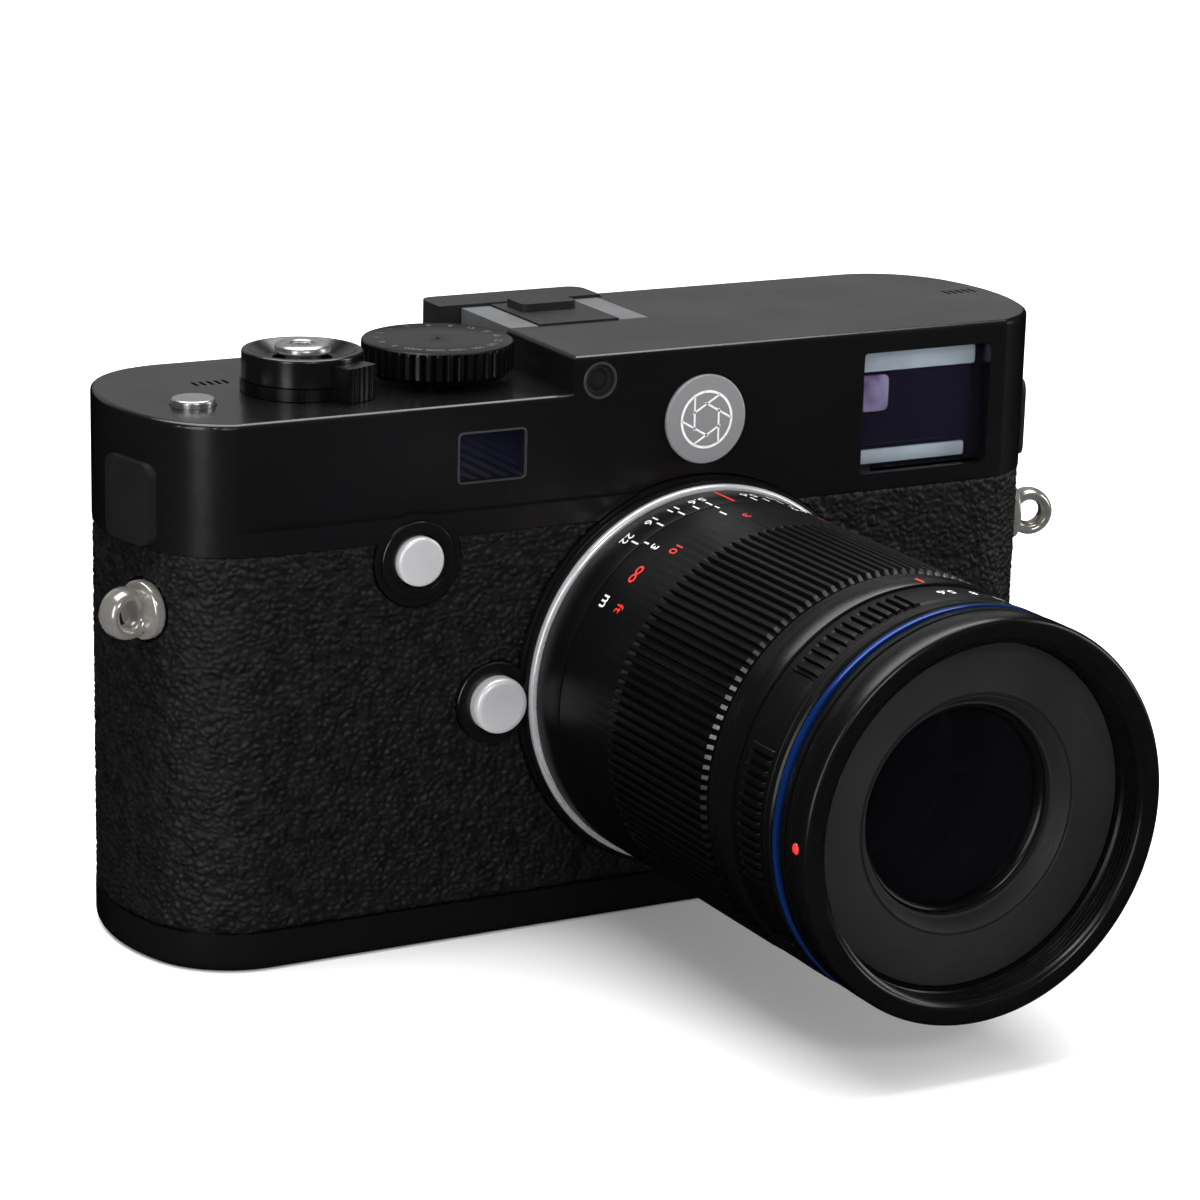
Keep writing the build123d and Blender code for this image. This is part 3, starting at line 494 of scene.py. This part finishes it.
def leather(name, keep, replaces):
    """The displaced covering on one side of the mount, cut round the fittings."""
    lo, hi = (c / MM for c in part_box(replaces))
    ring = outline(STEP)
    rows = int((hi.z - lo.z) / STEP) + 1
    dz = (hi.z - lo.z) / (rows - 1)
    panel_lo, panel_hi = (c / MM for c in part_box("rear_panel"))
    key, pad = middle("focus_button"), middle("four_way_pad")
    holes = [(-1, 0, AXIS_Z, MOUNT_CUT), (-1, key.x, key.z, FOCUS_CUT),
             (-1, RELEASE_X, RELEASE_Z, RELEASE_CUT), (1, pad.x, pad.z, PAD_CUT)]
    index, verts = {}, []
    for i, (px, py, a) in enumerate(ring):
        x = BODY_X + px
        nx, ny = math.cos(a), math.sin(a)
        if not keep(x) or (ny > 0.99 and panel_lo.x - 0.2 < x < panel_hi.x + 0.2):
            continue
        for j in range(rows):
            z = lo.z + j * dz
            gx, gz, cut = x, z, False
            if abs(ny) > 0.99:
                for side, hx, hz, hr in holes:
                    away = math.hypot(gx - hx, gz - hz)
                    if py * side > 0 and away < hr:
                        cut = cut or away < hr - STEP
                        gx, gz = hx + (gx - hx) * hr / away, hz + (gz - hz) * hr / away
            elif py < 0:
                away = math.hypot(py - LUG_Y, gz - LUG_Z)
                if away < LUG_CUT:
                    cut = away < LUG_CUT - STEP
                    gz = LUG_Z + (gz - LUG_Z) * LUG_CUT / max(away, 0.01)
            if cut:
                continue
            edge = min(1.0, min(gz - lo.z, hi.z - gz) / 0.5)
            h = grain(x, py, gz) * DEPTH - 0.03 - (1 - edge) ** 2 * 0.2
            index[(i, j)] = len(verts)
            verts.append((gx + nx * h, py + ny * h, gz))
    faces = []
    for i in range(len(ring)):
        k = (i + 1) % len(ring)
        if abs(ring[i][0] - ring[k][0]) > 3:
            continue
        for j in range(rows - 1):
            quad = [index.get(p) for p in ((i, j + 1), (k, j + 1), (k, j), (i, j))]
            if None not in quad:
                faces.append(quad)
    piece(name, verts, faces, "camera", LEATHER, replaces=[replaces], sharp=180)


leather("covering_left", lambda x: x <= 0.0, "leather_left")
leather("covering_right", lambda x: x >= 0.0, "leather_right")

# ---------------- lens rings ----------------
R = RING_R
TOP = 90
BORE, REAR_BORE = 22.9, 22.7
NUMBER, TICK = 2.1, (0.28, 1.7)

# Text of a pair of marks, degrees from the top to the tick, and degrees to the number; one is a tick alone.
DEPTH_MARKS = (("22", 34, 34), ("16", 24.5, 24.5), ("11", 17, 17), ("", 12, 12), ("5.6", 7.6, 8.8))
d0, d1 = span("depth_scale_ring")
lathe("depth_scale_band", ring_profile(d0, d1, R, 22.0, 0.12), "lens",
      M["anodised_fine"], ["depth_scale_ring"])
marks = []
for text, tick_at, number_at in DEPTH_MARKS:
    for side in (-1, 1):
        if text:
            marks.append(on_barrel(lettering(text, NUMBER), TOP + side * number_at, d1 - 3.5, R))
        marks.append(on_barrel(bar(*TICK), TOP + side * tick_at, d1 - 1.2, R))
gather("depth_scale_marks", marks, "lens", M["white_fill"])
gather("depth_scale_index", [on_barrel(bar(0.4, 5.4), TOP, d1 - 3.2, R)], "lens",
       M["red_fill"])

f0, f1 = span("focus_ring")
GRIP0, GRIP1 = 42.5, f1 - 0.45
RIBS, PER_RIB, RIB_DEPTH = 124, 10, 0.72


def rib(i, d, r):
    """Trapezoid teeth round the grip, running out at its rear end."""
    if d < GRIP0 + 0.2 or d > GRIP1 + 0.2 or r < R - 0.4:
        return r
    phase = (i % PER_RIB) / PER_RIB
    depth = 0.0 if 0.1 <= phase <= 0.5 else 1.0 if phase >= 0.7 or phase == 0 else 0.55
    run = min(1.0, max(0.0, (d - GRIP0 - 0.2) / 0.8))
    return r - RIB_DEPTH * depth * run


RIB_END_EDGE = 7
focus_profile = [(f0, BORE), (f0, R - 0.25), (f0 + 0.08, R - 0.1), (f0 + 0.25, R), (GRIP0 - 0.1, R),
                 (GRIP0 + 0.25, R + 0.02), (GRIP0 + 1.0, R + 0.1), (GRIP1 - 0.6, R + 0.1),
                 (GRIP1, R - 0.5), (GRIP1 + 0.05, 25.4), (f1, 25.2), (f1, BORE)]
lathe("focus_grip_ring", focus_profile, "focus_grip", M["anodised_fine"], ["focus_ring"],
      segments=RIBS * PER_RIB, radius=rib, sharp=28, bright=(RIB_END_EDGE,))

# Text, height, degrees round the barrel and distance in front.
METRES = (("m", 2.7, 144, 31.9), ("3", 2.2, 122.4, 32.0), ("1", 2.4, 99, 32.6), ("0.5", 2.0, 72, 32.0))
FEET = (("ft", 2.4, 144, 35.7), ("10", 2.2, 119.8, 36.0), ("3", 2.2, 95, 35.6), ("∞", 3.4, 132.7, 33.9),
        ("1.5", 2.0, 68, 36.0))
METRE_TICKS, METRE_TICK, METRE_TICK_AT = (122.4, 97.5, 72), (0.25, 1.2), 29.9


def scale(rows):
    """The marks of a distance scale."""
    return [on_barrel(lettering(text, size), turn, d, R) for text, size, turn, d in rows]


metres = scale(METRES) + [on_barrel(bar(*METRE_TICK), turn, METRE_TICK_AT, R) for turn in METRE_TICKS]
gather("distance_scale_metres", metres, "focus_grip", M["white_fill"])
gather("distance_scale_feet", scale(FEET), "focus_grip", M["red_fill"])

i0, i1 = span("index_ring")
index_profile = [(i0, REAR_BORE), (i0, R - 0.5), (i0 + 0.15, R - 0.3), (i0 + 1.9, R - 0.3),
                 (i0 + 2.15, R - 0.02), (i0 + 2.4, R), (i1 - 0.3, R), (i1 - 0.1, R - 0.1),
                 (i1, R - 0.3), (i1, REAR_BORE)]
lathe("index_band", index_profile, "front_section", M["anodised"], ["index_ring"])
gather("aperture_index", [on_barrel(bar(0.45, 1.9), 88, i1 - 1.3, R)], "front_section",
       M["red_fill"])

a0, a1 = span("aperture_ring")
CLICK_SEGMENTS = 1200
GROUP, GROUP_RUN, PITCH, GROOVE = 60, 38, 2.9, 0.6
NUMBERS_FROM, NUMBERS_TO, NUMBERS_DEEP = 45, 99, 0.32


def click_rib(i, d, r):
    """Groups of short ribs with plain gaps, and a wide plain gap for the numbers."""
    if d < a0 + 1.7 or d > a1 - 1.3 or r < R - 0.5:
        return r
    turned = i * 360 / CLICK_SEGMENTS
    degrees = (turned - NUMBERS_TO) % GROUP
    if degrees > GROUP_RUN or NUMBERS_FROM < turned < NUMBERS_TO:
        return r - NUMBERS_DEEP
    phase = (degrees % PITCH) / PITCH
    return r + (0.0 if phase < 0.55 else -GROOVE)


aperture_profile = [(a0, BORE), (a0, R - 0.55), (a0 + 0.1, R - 0.42), (a0 + 1.4, R - 0.4),
                    (a0 + 1.75, R + 0.02), (a0 + 2.0, R + 0.05), (a1 - 1.6, R + 0.05), (a1 - 1.35, R),
                    (a1 - 1.1, R - 0.4), (a1 - 0.25, R - 0.4), (a1 - 0.08, R - 0.5), (a1, R - 0.6),
                    (a1, BORE)]
lathe("aperture_grip_ring", aperture_profile, "aperture_grip", M["anodised_fine"],
      ["aperture_ring"], segments=CLICK_SEGMENTS, radius=click_rib, sharp=25)
FIRST_STOP, STOP_STEP = 86.5, 9.0
stops = [on_barrel(lettering(text, NUMBER), FIRST_STOP - STOP_STEP * k, a0 + 3.6, R - 0.26)
         for k, text in enumerate(("5.6", "8", "11", "16", "22"))]
gather("aperture_numbers", stops, "aperture_grip", M["white_fill"])

b0, b1 = span("blue_ring")
lathe("blue_band", ring_profile(b0 + 0.3, b1 - 0.4, R - 0.06, 25.1, 0.3), "front_section",
      M["blue"], ["blue_ring"])

n0, n1 = span("front_barrel")
SEAT, SEAT_BORE = n1 - 4.2, 20.7
THREAD_TURNS, THREAD_PITCH = 5, 0.68
barrel = [(n0, REAR_BORE), (n0, R - 0.45), (n0 + 0.25, R - 0.15), (n0 + 0.5, R - 0.08),
          (b0 - 0.35, R - 0.1), (b0 - 0.1, R - 0.35), (b0 - 0.06, 25.0), (b1 + 0.06, 25.0),
          (b1 + 0.1, R - 0.35), (b1 + 0.4, R - 0.12), (b1 + 1.4, R - 0.1), (b1 + 1.5, R - 0.4),
          (b1 + 1.9, R - 0.4), (b1 + 2.0, R - 0.05), (b1 + 2.2, R), (n1 - 0.75, R),
          (n1 - 0.3, R - 0.18), (n1 - 0.04, R - 0.55), (n1, R - 0.95), (n1, 24.15),
          (n1 - 0.1, 23.85), (n1 - 0.35, 23.6)]
for k in range(THREAD_TURNS):
    d = n1 - 0.5 - k * THREAD_PITCH
    barrel += [(d, 23.5), (d - 0.2, 23.1), (d - 0.35, 23.05), (d - 0.5, 23.45)]
barrel += [(SEAT, 23.0), (SEAT, 22.5), (SEAT - 1.0, 22.5), (SEAT - 1.0, SEAT_BORE),
           (n0 + 2.6, SEAT_BORE), (n0 + 2.6, REAR_BORE)]
lathe("front_rim_barrel", barrel, "front_section", M["anodised"], ["front_barrel"],
      segments=360, sharp=38)

p0, p1 = span("name_ring")
plate = [(p1 - 0.7, 22.4), (p1 - 0.12, 22.4), (p1, 22.25), (p1, 15.85), (p1 - 0.12, 15.75), (p1 - 0.3, 15.7),
         (p1 - 0.3, 15.5), (p1 - 0.02, 15.4), (p1 - 0.02, 15.3), (p1 - 0.25, 15.1), (p1 - 2.0, 14.1),
         (p1 - 2.1, 13.75), (p0 - 0.2, 13.7), (p0 - 0.2, 20.4), (p1 - 0.75, 20.4)]
lathe("name_plate_ring", plate, "front_section", M["plate"], ["name_ring"], sharp=25)
g1 = span("front_element")[1]
cell = [(g1 - 1.4, 13.7), (g1 + 0.1, 13.7), (g1 + 0.35, 13.55), (g1 + 0.42, 13.35), (g1 + 0.3, 13.15),
        (g1 - 0.4, 12.75), (g1 - 1.4, 12.7)]
lathe("glass_retaining_ring", cell, "front_section", M["anodised"])

BEAD_RINGS, BEAD_SIDES = 7, 20
BEAD_R, BEAD_SUNK, BEAD_HIGH, BEAD_AT = 0.75, 0.1, 0.38, n1 - 2.2
bead = [(-R + BEAD_SUNK - BEAD_HIGH, -BEAD_AT, AXIS_Z)]
for k in range(1, BEAD_RINGS):
    t = math.pi / 2 * k / (BEAD_RINGS - 1)
    for i in range(BEAD_SIDES):
        a = 2 * math.pi * i / BEAD_SIDES
        bead.append((-R + BEAD_SUNK - BEAD_HIGH * math.cos(t),
                     -BEAD_AT + BEAD_R * math.sin(t) * math.cos(a),
                     AXIS_Z + BEAD_R * math.sin(t) * math.sin(a)))
bead_faces = []
for i in range(BEAD_SIDES):
    n = (i + 1) % BEAD_SIDES
    bead_faces.append((0, 1 + n, 1 + i))
    for k in range(BEAD_RINGS - 2):
        near, far = 1 + k * BEAD_SIDES, 1 + (k + 1) * BEAD_SIDES
        bead_faces.append((near + i, near + n, far + n, far + i))
piece("index_bead", bead, bead_faces, "front_section", M["red"], sharp=60)


# ---------------- windows, badge and dials ----------------
CORNER_STEPS = 7


def plate_on_front(name, x0, x1, z0, z1, y0, y1, corner, shade, hole=0.0):
    """An upright rounded plate between depths y0 (front) and y1 (back); hole makes it a frame that wide."""
    def rim(inset):
        c = max(corner - inset, 0.05)
        points = []
        for cx, cz, start in ((x1 - inset - c, z1 - inset - c, 0), (x0 + inset + c, z1 - inset - c, 90),
                              (x0 + inset + c, z0 + inset + c, 180), (x1 - inset - c, z0 + inset + c, 270)):
            for k in range(CORNER_STEPS):
                a = math.radians(start + 15 * k)
                points.append((cx + c * math.cos(a), cz + c * math.sin(a)))
        return points
    soft = min(0.12, (y1 - y0) / 3)
    loops = [(rim(0), y1), (rim(0), y0 + soft), (rim(soft * 0.3), y0 + soft * 0.3), (rim(soft), y0)]
    if hole:
        loops += [(rim(hole), y0), (rim(hole), y1)]
    verts = [(x, y, z) for points, y in loops for x, z in points]
    count = 4 * CORNER_STEPS
    faces = []
    last = len(loops) if hole else len(loops) - 1
    for k in range(last):
        for i in range(count):
            n = (i + 1) % count
            m = (k + 1) % len(loops)
            faces.append((k * count + i, k * count + n, m * count + n, m * count + i))
    if not hole:
        faces.append(tuple(range(3 * count, 4 * count)))
        faces.append(tuple(reversed(range(count))))
    piece(name, verts, faces, "camera", shade, sharp=40)


w_lo, w_hi = (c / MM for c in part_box("finder_window"))
w_back = w_hi.y + 0.15
w_mid = (w_lo.z + w_hi.z) / 2
# Strips at the top and bottom of the finder window carry the painted reflection.
plate_on_front("finder_upper_painted_reflection", w_lo.x + 0.3, w_hi.x - 0.7, w_hi.z - 3.0, w_hi.z - 0.3,
               w_back, w_back + 0.5, 0.4, M["frosted"])
plate_on_front("finder_lower_painted_reflection", w_lo.x + 0.3, w_hi.x - 1.9, w_lo.z + 0.3, w_lo.z + 2.3,
               w_back, w_back + 0.5, 0.3, M["frosted"])
# A lilac patch at the left of the finder window carries the painted reflection.
plate_on_front("finder_reflection_patch_painted", w_lo.x + 0.9, w_lo.x + 6.2, w_mid - 0.6, w_mid + 4.6,
               w_back + 0.6, w_back + 1.0, 0.9, M["lilac"])
r_lo, r_hi = (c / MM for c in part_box("rangefinder_window"))
seat_y = middle("rangefinder_window").y - 1.15
plate_on_front("rangefinder_window_rim", r_lo.x, r_hi.x, r_lo.z, r_hi.z, seat_y, seat_y + 0.5, 0.8,
               M["rim"], hole=0.28)


def disc_on_front(name, centre, y0, y1, outer, inner, shade, segments=64):
    """A ring facing the front, from y0 to y1."""
    profile = [(y1, inner), (y1, outer), (y0 + 0.08, outer), (y0, outer - 0.08), (y0, inner)]
    verts = []
    for i in range(segments):
        a = 2 * math.pi * i / segments
        for y, r in profile:
            verts.append((centre.x + r * math.cos(a), y, centre.z + r * math.sin(a)))
    piece(name, verts, turned_faces(segments, len(profile)), "camera", shade, sharp=40)


eye_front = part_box("light_sensor")[0].y / MM
disc_on_front("light_sensor_rim", middle("light_sensor"), eye_front - 0.2, eye_front + 0.3, 2.58, 2.2,
              M["rim"])

# A generic six-bladed iris: a thin circle and six lines from near it to the opening.
IRIS_R, IRIS_BORE, IRIS_SIDES = 4.05, 3.7, 64
BLADES, BLADE_FROM, BLADE_TO, BLADE_SWEEP, HALF_LINE = 6, 3.8, 2.35, 97, 0.14
mark = middle("badge")
badge_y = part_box("badge")[0].y / MM - 0.03
strokes = []
for i in range(IRIS_SIDES):
    a, b = 2 * math.pi * i / IRIS_SIDES, 2 * math.pi * (i + 1) / IRIS_SIDES
    strokes.append(([(mark.x + r * math.cos(t), badge_y, mark.z + r * math.sin(t))
                     for r, t in ((IRIS_BORE, a), (IRIS_R, a), (IRIS_R, b), (IRIS_BORE, b))],
                    [(0, 1, 2, 3)]))
for i in range(BLADES):
    start, end = math.radians(60 * i), math.radians(60 * i + BLADE_SWEEP)
    x0, z0 = BLADE_FROM * math.cos(start), BLADE_FROM * math.sin(start)
    x1, z1 = BLADE_TO * math.cos(end), BLADE_TO * math.sin(end)
    length = math.hypot(x1 - x0, z1 - z0)
    ox, oz = (z1 - z0) / length * HALF_LINE, -(x1 - x0) / length * HALF_LINE
    corners = ((x0 + ox, z0 + oz), (x1 + ox, z1 + oz), (x1 - ox, z1 - oz), (x0 - ox, z0 - oz))
    strokes.append(([(mark.x + x, badge_y, mark.z + z) for x, z in corners], [(0, 1, 2, 3)]))
gather("badge_iris_mark", strokes, "camera", M["white_fill"])


def on_deck(glyphs, x, y, z, turn):
    """Lays flat glyphs on a deck, turned about their own middle."""
    points, faces = glyphs
    c, s = math.cos(math.radians(turn)), math.sin(math.radians(turn))
    return [(x + u * c - v * s, y + u * s + v * c, z + LIFT) for u, v in points], faces


def spin(name, centre, profile, body, shade, replaces, segments=96, radius=None, sharp=30):
    """Turns a closed profile of (height, radius) about an upright line; radius(i, z, r) may shape it."""
    verts = []
    for i in range(segments):
        a = 2 * math.pi * i / segments
        for z, r in profile:
            rr = radius(i, z, r) if radius else r
            verts.append((centre.x + rr * math.cos(a), centre.y + rr * math.sin(a), z))
    faces = turned_faces(segments, len(profile))
    piece(name, verts, faces, body, shade, replaces=replaces, sharp=sharp)


dial = middle("speed_dial")
dial_lo, dial_hi = (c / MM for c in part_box("speed_dial"))
dial_top, dial_r = dial_hi.z, (dial_hi.x - dial_lo.x) / 2 - 0.06
DIAL_RIBS, DIAL_PER, DIAL_RIB_DEPTH = 44, 12, 0.75
skirt = dial_top - 4.7


def dial_rib(i, z, r):
    """V-shaped notches round the rim, running out above the lower edge."""
    if r < dial_r - 1.2 or z > dial_top - 0.5:
        return r
    phase = abs((i % DIAL_PER) / DIAL_PER - 0.5) * 2
    return r - DIAL_RIB_DEPTH * max(0.0, 1 - phase / 0.55)


dial_profile = [(skirt, 3.6), (skirt, dial_r - 1.5), (skirt + 0.02, dial_r - 1.0), (skirt + 0.9, dial_r),
                (dial_top - 0.75, dial_r), (dial_top - 0.6, dial_r), (dial_top - 0.3, dial_r - 0.05),
                (dial_top - 0.12, dial_r - 0.2), (dial_top - 0.04, dial_r - 0.45), (dial_top - 0.04, 0.6),
                (dial_top - 0.1, 0.3), (dial_top - 1, 0.3), (dial_lo.z, 0.3), (dial_lo.z, 3.6)]
spin("speed_dial_knob", dial, dial_profile, "speed_dial_body", M["anodised"],
     ["speed_dial"], segments=DIAL_RIBS * DIAL_PER, radius=dial_rib, sharp=24)
SPEEDS = ("B", "8", "4", "2", "1", "2", "4", "8", "15", "30", "60", "125", "250", "500", "1000", "2000",
          "4000")
SPEED_SIZE, SPEED_R, SPEED_START = 1.35, 8.2, 200
speeds = []
for k, text in enumerate(SPEEDS):
    turn = -360 / len(SPEEDS) * k + SPEED_START
    a = math.radians(turn)
    speeds.append(on_deck(lettering(text, SPEED_SIZE), dial.x + SPEED_R * math.cos(a),
                          dial.y + SPEED_R * math.sin(a), dial_top - 0.04, turn - 90))
gather("speed_dial_numbers", speeds, "speed_dial_body", M["grey_fill"])

button_lo, button_hi = (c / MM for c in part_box("shutter_button"))
rim_r, top = (button_hi.x - button_lo.x) / 2, button_hi.z
button_profile = [(button_lo.z, 0.9), (button_lo.z, 2.4), (top - 1.35, 2.4), (top - 1.3, rim_r - 0.15),
                  (top - 1.1, rim_r), (top - 0.65, rim_r), (top - 0.3, rim_r - 0.2),
                  (top - 0.1, rim_r - 0.6), (top, rim_r - 1.15), (top, 1.8), (top - 0.12, 1.6),
                  (top - 0.3, 1.5), (top - 0.3, 1.1), (top - 2.0, 0.9)]
# The cap uses the darker copy of the button steel: painted shade.
spin("shutter_button_cap", middle("shutter_button"), button_profile, "shutter_button_body",
     M["button_steel_shaded_copy"], ["shutter_button"], sharp=34)

ring_back, ring_front = span("bayonet_ring")
ring_r = (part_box("bayonet_ring")[1].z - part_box("bayonet_ring")[0].z) / 2 / MM
lathe("bayonet_side_band",
      ring_profile(ring_back + 0.05, ring_front - 0.85, ring_r + 0.35, ring_r + 0.02, 0.12),
      "camera", M["cover"])

shell_front = -HALF_D
COLLARS = (("focus_button_collar", middle("focus_button"), 5.3, 0.45),
           ("lens_release_collar", Vector((RELEASE_X, 0, RELEASE_Z)), 5.6, 0.5))
COLLAR_BORE = 4.35
for name, at, outer, proud in COLLARS:
    disc_on_front(name, at, shell_front - proud, shell_front + 0.3, outer, COLLAR_BORE,
                  M["cover"])


def turn_about(origin, axis, profile, segments=48):
    """Points and faces of a closed profile of (distance along, radius) turned about any line."""
    side = axis.cross(Vector((0, 0, 1))).normalized()
    other = axis.cross(side)
    verts = []
    for i in range(segments):
        a = 2 * math.pi * i / segments
        verts += [origin + axis * d + (side * math.cos(a) + other * math.sin(a)) * r for d, r in profile]
    return verts, [(a, d, c, b) for a, b, c, d in turned_faces(segments, len(profile))]


EYE_OUT = 2.9
lean = math.asin(-LUG_Y / END_R)
half_ring = [(0.55, 1.72), (1.05, 1.86), (1.45, 2.12), (1.7, 2.5), (1.72, 2.85), (1.5, 3.14),
             (1.05, 3.35), (0.5, 3.42)]
eye_ring = half_ring + [(-d, r) for d, r in reversed(half_ring)]
foot_turn = [(-0.6, 0.2), (-0.6, 3.95), (0.45, 3.95), (0.7, 3.8), (0.85, 3.5), (0.98, 2.9), (1.15, 2.2),
             (1.15, 0.2)]
lug_verts, lug_faces = [], []
for side in (-1, 1):
    away = Vector((side * math.cos(lean), -math.sin(lean), 0))
    foot = Vector((BODY_X + side * (HALF_W - END_R + END_R * math.cos(lean)), LUG_Y, LUG_Z))
    through = Vector((0, 0, 1)).cross(away) * side
    for origin, axis, profile in ((foot, away, foot_turn), (foot + away * EYE_OUT, through, eye_ring)):
        verts, faces = turn_about(origin, axis, profile)
        base = len(lug_verts)
        lug_verts += verts
        lug_faces += [tuple(base + v for v in face) for face in faces]
piece("strap_lug_rings", lug_verts, lug_faces, "camera", M["lug"], replaces=["strap_lugs"], sharp=40)

ARROW = ((7.7, 0.0), (6.8, 0.75), (6.8, -0.75))
pad = middle("four_way_pad")
pad_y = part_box("four_way_pad")[1].y / MM + 0.03
arrows = []
for c, n in ((1, 0), (0, 1), (-1, 0), (0, -1)):
    arrows.append(([(pad.x + u * c - v * n, pad_y, pad.z + u * n + v * c) for u, v in ARROW], [(0, 1, 2)]))
gather("four_way_arrows", arrows, "four_way_pad_body", M["arrow_fill"])


# ---------------- finish ----------------
plane = bpy.data.meshes.new("floor")
FLOOR_HALF = 6.0
corners = [(x * FLOOR_HALF, y * FLOOR_HALF, 0) for x, y in ((-1, -1), (1, -1), (1, 1), (-1, 1))]
plane.from_pydata(corners, [], [(0, 1, 2, 3)])
floor = bpy.data.objects.new("floor", plane)
bpy.context.scene.collection.objects.link(floor)
floor_shade = Shade("pale_floor", (0.93, 0.93, 0.93), 0.9, Specular_IOR_Level=0.1)
floor_shade.vary_color(floor_shade.noise(3), (0.92, 0.92, 0.92))
plane.materials.append(floor_shade.mat)
floor.visible_glossy = False
